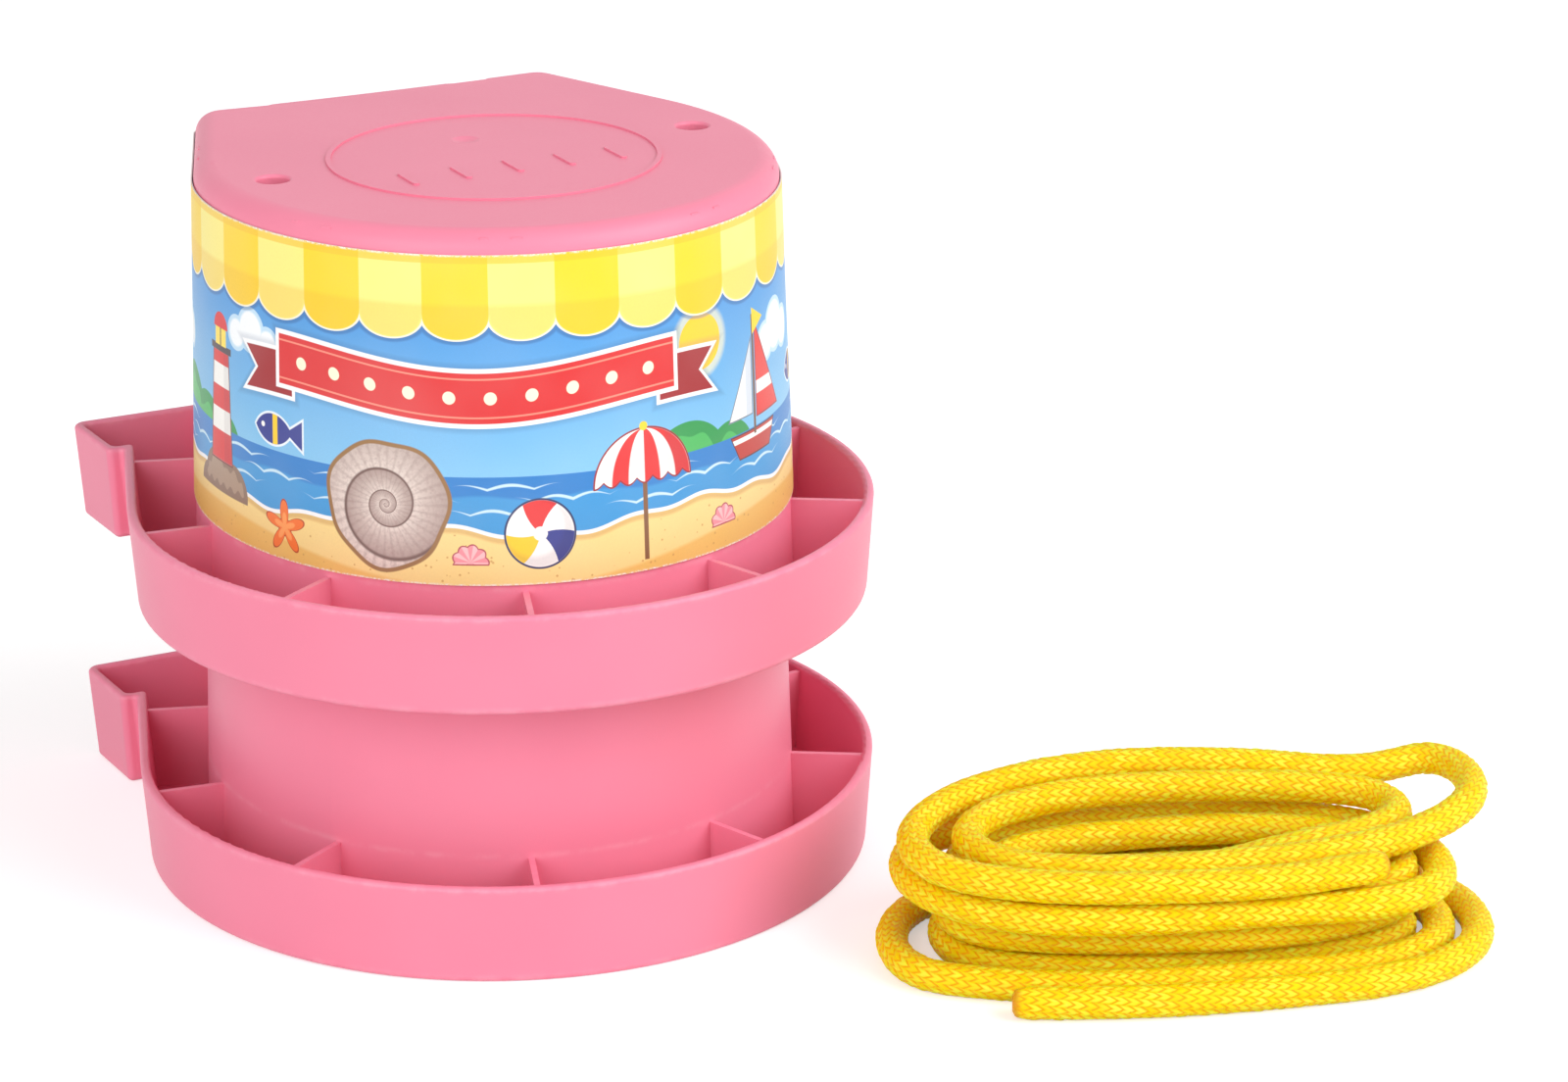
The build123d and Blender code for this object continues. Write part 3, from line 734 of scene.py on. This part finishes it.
# A striped sunshade and a beach ball.
shade_x, shade_y, shade_radius = 4.5, 17.6, 10.6
half_chord = less(shade_radius ** 2, calc(tree, "POWER", less(up, shade_y), 2.0))
half_chord = calc(tree, "SQRT", calc(tree, "MAXIMUM", half_chord, 1.0))
lean = calc(tree, "DIVIDE", less(along, shade_x), half_chord)
scallop = times(calc(tree, "ABSOLUTE", calc(tree, "COSINE", times(lean, math.pi * 3.0))), 1.1)
canopy = within(disc(shade_x, shade_y, shade_radius), less(shade_y + 1.2, plus(up, scallop)))
gores = less(calc(tree, "PINGPONG", plus(times(lean, 3.0), 0.5), 1.0), 0.5)
art = inked(art, block(shade_x, 10.6, 0.5, 8.4), WOOD)
art = inked(art, canopy, ink(150, 22, 30), grow=0.35)
art = inked(art, canopy, ink(224, 38, 40))
art = inked(art, within(canopy, gores), ink(253, 250, 246), soft=0.04)
art = inked(art, within(canopy, beyond(9.4, 0.0, 180.0)), ink(80, 20, 60), strength=0.14, soft=0.5)
art = inked(art, disc(shade_x, 28.7, 0.9), GOLD)
distance, angle = polar(-17.0, 10.0)
ball = less(distance, 6.6)
sector = calc(tree, "FLOOR", times(plus(angle, times(distance, 0.05), 7.0), 3.0 / math.pi))
art = inked(art, ball, ink(24, 34, 92), grow=0.4)
art = inked(art, ball, WHITE)
for step, colour in ((0.0, NAVY), (2.0, ink(226, 40, 42)), (4.0, YELLOW)):
    gore = span(calc(tree, "MODULO", sector, 6.0), step, 0.5)
    art = inked(art, within(ball, gore), colour, soft=0.02)
art = inked(art, less(distance, 1.4), WHITE)
in_shade = within(ball, outside(disc(-18.2, 11.2, 5.8)))
art = inked(art, in_shade, ink(20, 20, 60), strength=0.2, soft=0.5)

# A big spiral shell, a starfish, two small shells and a fish.
distance, angle = polar(-47.0, 15.2)
wobble = times(calc(tree, "SINE", times(angle, 3.0)), 0.45)
wobble = plus(wobble, times(calc(tree, "SINE", plus(times(angle, 7.0), 1.0)), 0.22))
shell = less(distance, plus(wobble, 12.4))
growth = times(calc(tree, "LOGARITHM", plus(distance, 0.25), math.e), 1.15)
whorl = calc(tree, "FRACT", less(growth, times(angle, 0.5 / math.pi)))
ribs = times(spread(tree, calc(tree, "SINE", times(angle, 34.0)), 0.2, 0.9), 0.22)
stains = times(spread(tree, noise(tree, sheet_place, 1.1, 3.0, 0.6), 0.45, 0.7), 0.4)
seams = spread(tree, calc(tree, "ABSOLUTE", less(whorl, 0.5)), 0.44, 0.485)
turning = spread(tree, whorl, 0.1, 0.95)
shell_grey = mix_colour(tree, turning, ink(226, 210, 200), ink(176, 154, 146))
marks = ((ribs, ink(140, 112, 104)), (stains, ink(160, 132, 126)), (seams, ink(112, 84, 76)))
for mask, colour in marks:
    shell_grey = mix_colour(tree, mask, shell_grey, colour)
art = inked(art, shell, ink(150, 108, 58), grow=0.55, soft=0.12)
art = mix_colour(tree, spread(tree, shell, -0.2, -0.4), art, shell_grey)
distance, angle = polar(-71.0, 6.6)
arms = plus(times(calc(tree, "COSINE", times(less(angle, 0.35), 5.0)), 1.9), 3.4)
art = inked(art, less(distance, arms), ink(180, 66, 20), grow=0.35)
art = inked(art, less(distance, arms), ink(244, 118, 40))
art = inked(art, less(distance, times(arms, 0.55)), ink(254, 160, 84), soft=0.2)
for x, y in ((-30.5, 4.6), (24.0, 5.4), (66.0, 5.0)):
    distance, angle = polar(x, y)
    lobes = times(calc(tree, "ABSOLUTE", calc(tree, "COSINE", times(angle, 4.5))), 0.5)
    fan = within(less(distance, plus(lobes, 2.9)), beyond(0.0, y - 0.3, 270.0))
    art = inked(art, fan, ink(176, 70, 84), grow=0.3)
    art = inked(art, fan, ink(244, 150, 160))
    folds = less(calc(tree, "SINE", times(angle, 9.0)), 0.0)
    art = inked(art, within(fan, folds), ink(252, 196, 198), soft=0.1)
for x, y in ((-74.0, 25.6), (60.0, 27.0)):
    body = within(disc(x, y - 3.0, 6.0), disc(x, y + 3.0, 6.0))
    tail = within(beyond(x + 3.6, y, 123.0), beyond(x + 3.6, y, 237.0), beyond(x + 8.0, 0.0, 0.0))
    fish = either(body, tail)
    art = inked(art, fish, ink(238, 246, 252), grow=0.45)
    art = inked(art, fish, NAVY)
    art = inked(art, within(body, span(along, x + 0.6, 0.7)), YELLOW)
    art = inked(art, disc(x - 3.0, y + 0.4, 0.55), WHITE)

# A palm on an islet, by the back.
islet = within(disc(92.0, 4.0, 17.0), beyond(0.0, 13.0, 270.0))
art = inked(art, islet, SAND)
bend = times(calc(tree, "POWER", less(up, 18.0), 2.0), 0.012)
trunk = within(span(less(along, bend), 91.0, 0.9), span(up, 27.0, 8.6))
art = inked(art, trunk, WOOD)
leaves = either(
    within(disc(88.0, 31.4, 7.2), outside(disc(87.2, 28.6, 7.4))),
    within(disc(100.0, 31.4, 7.2), outside(disc(100.8, 28.6, 7.4))),
    within(disc(89.6, 35.0, 6.0), outside(disc(87.8, 33.0, 6.8))),
    within(disc(98.4, 35.0, 6.0), outside(disc(100.2, 33.0, 6.8))),
)
art = inked(art, leaves, ink(24, 112, 58), grow=0.3)
art = inked(art, leaves, ink(60, 172, 82), grow=-0.15)
art = inked(art, either(disc(93.2, 34.6, 1.1), disc(95.2, 34.2, 1.1)), ink(112, 66, 34))

# A waving ribbon across the sky, left plain but for dots, with a notched tail behind each end.
strip = less(up, plus(wave(along, 84.0, 1.7, 0.6), 38.4))
tails = plus(strip, 2.8)
notched = less(span(along, -30.0, 52.0), plus(times(calc(tree, "ABSOLUTE", tails), 0.9), -3.6))
tail = within(notched, span(tails, 0.0, 4.2), outside(span(along, -30.0, 38.5)))
ribbon = within(span(along, -30.0, 42.0), span(strip, 0.0, 4.9))
art = inked(art, either(tail, ribbon), ink(30, 70, 120), grow=1.7, strength=0.25, soft=0.5)
art = inked(art, tail, ink(252, 252, 252), grow=0.8)
art = inked(art, tail, ink(158, 20, 28))
art = inked(art, ribbon, ink(252, 252, 252), grow=0.9)
art = inked(art, ribbon, ink(218, 36, 38))
piping = within(ribbon, span(strip, 0.0, 3.9), outside(span(strip, 0.0, 3.55)))
art = inked(art, piping, ink(246, 140, 120), soft=0.05)
from_dot = joined(tree, less(calc(tree, "PINGPONG", plus(along, 30.0), 4.0), 4.0), strip)
dots = within(less(sheet_calc("LENGTH", from_dot), 1.25), span(along, -30.0, 40.0))
art = inked(art, dots, ink(253, 246, 214))

# The striped awning along the top, with a round lip on each stripe.
STRIPE, AWNING_LOW = 13.0, 52.4
over_stripe = less(calc(tree, "FLOORED_MODULO", along, STRIPE), STRIPE / 2)
lip = sheet_calc("LENGTH", joined(tree, over_stripe, times(less(up, AWNING_LOW), 1.5)))
awning = either(less(AWNING_LOW, up), less(lip, STRIPE / 2))
art = inked(art, awning, DEEP_BLUE, grow=1.5, strength=0.55, soft=0.3)
art = inked(art, awning, ink(253, 248, 226), grow=0.5)
art = inked(art, awning, ink(253, 214, 24))
every_other = less(calc(tree, "FLOORED_MODULO", along, 2 * STRIPE), STRIPE)
art = inked(art, within(awning, every_other), ink(255, 238, 130))
art = inked(art, within(awning, less(up, 54.6)), ink(240, 180, 10), strength=0.35, soft=0.5)
art = inked(art, outside(less(up, 62.6)), ink(246, 196, 14), strength=0.7)

# The plain panel at the back, left bare.
panel = within(less(150.0, calc(tree, "ABSOLUTE", along)), span(up, 28.0, 21.0))
art = inked(art, panel, DEEP_BLUE, grow=1.1, strength=0.8)
art = inked(art, panel, ink(246, 247, 244))

# The print on coated paper: dots of the screen, a soft gloss, and cut edges that have rubbed white.
paper = placed(tree, fine_grain, {"Place": sheet_place, "Grain": 2.2, "Mottle": 0.05})
frayed = spread(tree, noise(tree, sheet_place, 1.4, 4.0, 0.7), 0.42, 0.6)
low_edge = spread(tree, up, 0.45, 0.1)
top_edge = spread(tree, up, BAND_HEIGHT - 0.45, BAND_HEIGHT - 0.1)
worn = times(calc(tree, "MAXIMUM", low_edge, top_edge), frayed)
for label, tint in (("Mottle", (0.9, 0.9, 0.86, 1.0)), ("Grain", (0.12, 0.12, 0.14, 1.0))):
    art = mix_colour(tree, spread(tree, paper[label], 0.0, 1.0, 0.0, 0.05), art, tint)
art = mix_colour(tree, worn, art, (0.93, 0.92, 0.90, 1.0))
put(shader.inputs["Base Color"], art)
gloss = spread(tree, paper["Grain"], 0.0, 1.0, 0.34, 0.42)
put(shader.inputs["Roughness"], plus(gloss, times(worn, 0.3)))
put(shader.inputs["Normal"], bump(tree, paper["Grain"], 0.08, 0.03 * MM))

bare_side, tree, shader = new_material("bare_paper_back")
paper = placed(tree, fine_grain, {"Place": object_place(tree), "Grain": 2200.0, "Mottle": 400.0})
pulp = mix_colour(tree, paper["Mottle"], (0.80, 0.79, 0.75, 1.0), (0.86, 0.85, 0.82, 1.0))
put(shader.inputs["Base Color"], pulp)
put(shader.inputs["Roughness"], spread(tree, paper["Grain"], 0.0, 1.0, 0.72, 0.86))
put(shader.inputs["Normal"], bump(tree, paper["Grain"], 0.3, 0.04 * MM))

band.data.materials.append(print_side)
band.data.materials.append(bare_side)
thick = band.modifiers.new("paper", "SOLIDIFY")
thick.thickness = PAPER * MM
thick.offset = 1.0
thick.material_offset = 1
thick.material_offset_rim = 1
bpy.ops.object.modifier_apply(modifier=thick.name)
bpy.ops.object.shade_smooth_by_angle(angle=math.radians(40.0))
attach(band, "paper_band")
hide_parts("paper_band")


# ---------------------------------------------------------------- the room
# A pale floor that looks white and keeps the shadows, and soft light from above and the front.
FLOOR_GLOW = (0.46, 0.72)   # what the camera sees added to the floor, by the object and far from it
GLOW_REACH = (0.5, 2.2)
ROOM_LIGHT = 0.40
LIT_PLACE = (0.0, 0.0, 0.07)
bpy.ops.object.select_all(action="DESELECT")
bpy.ops.mesh.primitive_plane_add(size=6.0, location=(0.0, 0.0, 0.0))
floor = bpy.context.object
floor.name = "floor"
floor_white, tree, shader = new_material("floor_white")
shader.inputs["Base Color"].default_value = (0.80, 0.80, 0.80, 1.0)
shader.inputs["Roughness"].default_value = 0.7
shader.inputs["Specular IOR Level"].default_value = 0.2
shader.inputs["Emission Color"].default_value = (1.0, 1.0, 1.0, 1.0)


def seen_rays(tree):
    """1 for what the camera sees, straight or in a reflection, and 0 for light on other things."""
    rays = tree.nodes.new("ShaderNodeLightPath").outputs
    seen = calc(tree, "MAXIMUM", rays["Is Camera Ray"], rays["Is Glossy Ray"])
    return calc(tree, "MAXIMUM", seen, rays["Is Transmission Ray"])


distance = tree.nodes.new("ShaderNodeVectorMath")
distance.operation = "LENGTH"
put(distance.inputs[0], object_place(tree))
glow = spread(tree, distance.outputs["Value"], *GLOW_REACH, *FLOOR_GLOW)
put(shader.inputs["Emission Strength"], calc(tree, "MULTIPLY", seen_rays(tree), glow))
floor.data.materials.append(floor_white)

world = bpy.data.worlds.new("room")
bpy.context.scene.world = world
world.use_nodes = True
background = world.node_tree.nodes["Background"]
background.inputs["Color"].default_value = (1.0, 1.0, 1.0, 1.0)
seen = seen_rays(world.node_tree)
put(background.inputs["Strength"], spread(world.node_tree, seen, 0.0, 1.0, ROOM_LIGHT, 1.0))


def soft_light(name, place, size, power):
    data = bpy.data.lights.new(name, "AREA")
    data.shape = "DISK"
    data.size = size
    data.energy = power
    lamp = bpy.data.objects.new(name, data)
    lamp.location = place
    lamp.rotation_euler = (Vector(LIT_PLACE) - Vector(place)).to_track_quat("-Z", "Y").to_euler()
    bpy.context.scene.collection.objects.link(lamp)


soft_light("key", (0.95, -1.10, 1.00), 1.6, 23.5)
soft_light("fill", (-1.15, -0.75, 0.65), 1.4, 13.0)

bpy.context.scene.view_settings.view_transform = "Standard"
